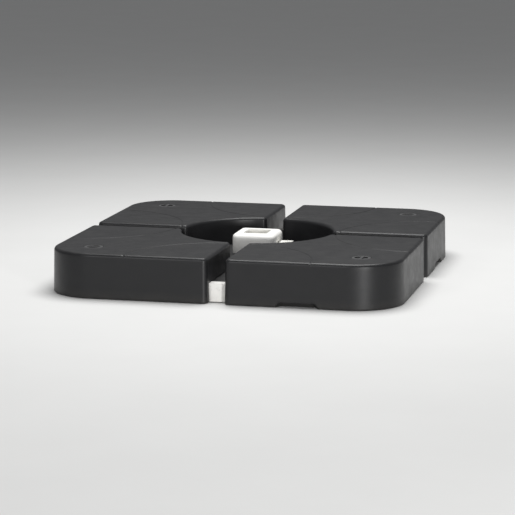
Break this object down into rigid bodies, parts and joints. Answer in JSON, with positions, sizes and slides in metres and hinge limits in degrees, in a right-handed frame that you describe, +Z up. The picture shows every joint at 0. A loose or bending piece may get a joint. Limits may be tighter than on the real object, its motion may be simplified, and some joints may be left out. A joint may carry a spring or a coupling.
{
  "type": "parasol base",
  "caption": "Square base for a cantilever parasol: four black ballast tanks over a black steel cross with a turning white mast foot and pedal lock.",
  "frame": {"origin": "on the ground under the middle of the cross frame", "axes": "+Z up, -Y the front, +X the side that the lock pedal is on at rest"},
  "size_m": [1.048, 1.048, 0.132],
  "materials": {
    "tank_plastic": "satin",
    "cap_plastic": "satin",
    "black_coating": "satin",
    "white_coating": "satin",
    "white_plastic": "satin",
    "zinc_steel": "satin",
    "dark_steel": "satin",
    "bush_bronze": "satin",
    "nylon": "matte",
    "pad_rubber": "matte",
    "water": "gloss"
  },
  "bodies": {
    "frame": {"long_arm": "black_coating", "side_arm_left": "black_coating", "side_arm_right": "black_coating", "arm_end_caps": "white_plastic", "foot_pads": "pad_rubber", "centre_plate": "black_coating", "plate_bolts": "zinc_steel", "plate_washers": "zinc_steel", "plate_nuts": "zinc_steel", "lock_ring": "zinc_steel", "ring_screws": "zinc_steel", "pivot_post": "zinc_steel", "thrust_washer": "nylon", "retaining_washer": "zinc_steel", "retaining_nut": "zinc_steel"},
    "foot": {"turntable": "white_coating", "pivot_bush": "bush_bronze", "mast_sleeve": "white_coating", "clamp_nuts": "zinc_steel", "clamp_screws": "dark_steel", "foot_cover": "white_plastic", "cover_screws": "zinc_steel", "pedal_bracket": "white_coating", "pedal_pin": "zinc_steel", "pin_clip": "dark_steel", "pin_guide": "zinc_steel", "guide_screws": "zinc_steel"},
    "pin": {"lock_pin": "zinc_steel", "lock_spring": "zinc_steel"},
    "pedal": {"lock_pedal": "white_coating"},
    "front_right_tank": {"tank_front_right": "tank_plastic", "water_front_right": "water"},
    "front_right_cap": {"filler_cap_front_right": "cap_plastic", "cap_gasket_front_right": "pad_rubber"},
    "rear_right_tank": {"tank_rear_right": "tank_plastic", "water_rear_right": "water"},
    "rear_right_cap": {"filler_cap_rear_right": "cap_plastic", "cap_gasket_rear_right": "pad_rubber"},
    "rear_left_tank": {"tank_rear_left": "tank_plastic", "water_rear_left": "water"},
    "rear_left_cap": {"filler_cap_rear_left": "cap_plastic", "cap_gasket_rear_left": "pad_rubber"},
    "front_left_tank": {"tank_front_left": "tank_plastic", "water_front_left": "water"},
    "front_left_cap": {"filler_cap_front_left": "cap_plastic", "cap_gasket_front_left": "pad_rubber"}
  },
  "joints": [
    {"name": "foot_turn", "type": "hinge", "parent": "frame", "child": "foot", "pos_m": [0, 0, 0.07], "axis": [0, 0, 1], "continuous": true},
    {"name": "pedal_press", "type": "hinge", "parent": "foot", "child": "pedal", "pos_m": [0.074, 0, 0.0915], "axis": [0, 1, 0], "range_deg": [0, 12], "stiffness_Nm_per_rad": 4, "springref_deg": -5.73},
    {"name": "lock_pin_lift", "type": "slide", "parent": "foot", "child": "pin", "axis": [0, 0, 1], "range_m": [0, 0.0047], "deforming": ["lock_spring"]},
    {"name": "front_right_tank_lift", "type": "slide", "parent": "frame", "child": "front_right_tank", "axis": [0, 0, 1], "range_m": [0, 0.3]},
    {"name": "front_right_cap_turn", "type": "hinge", "parent": "front_right_tank", "child": "front_right_cap", "pos_m": [0.4, -0.4, 0.13], "axis": [0, 0, 1], "range_deg": [0, 360]},
    {"name": "rear_right_tank_lift", "type": "slide", "parent": "frame", "child": "rear_right_tank", "axis": [0, 0, 1], "range_m": [0, 0.3]},
    {"name": "rear_right_cap_turn", "type": "hinge", "parent": "rear_right_tank", "child": "rear_right_cap", "pos_m": [0.4, 0.4, 0.13], "axis": [0, 0, 1], "range_deg": [0, 360]},
    {"name": "rear_left_tank_lift", "type": "slide", "parent": "frame", "child": "rear_left_tank", "axis": [0, 0, 1], "range_m": [0, 0.3]},
    {"name": "rear_left_cap_turn", "type": "hinge", "parent": "rear_left_tank", "child": "rear_left_cap", "pos_m": [-0.4, 0.4, 0.13], "axis": [0, 0, 1], "range_deg": [0, 360]},
    {"name": "front_left_tank_lift", "type": "slide", "parent": "frame", "child": "front_left_tank", "axis": [0, 0, 1], "range_m": [0, 0.3]},
    {"name": "front_left_cap_turn", "type": "hinge", "parent": "front_left_tank", "child": "front_left_cap", "pos_m": [-0.4, -0.4, 0.13], "axis": [0, 0, 1], "range_deg": [0, 360]}
  ],
  "couplings": [
    {"joint": "lock_pin_lift", "follows": "pedal_press", "m_per_rad": 0.022}
  ]
}
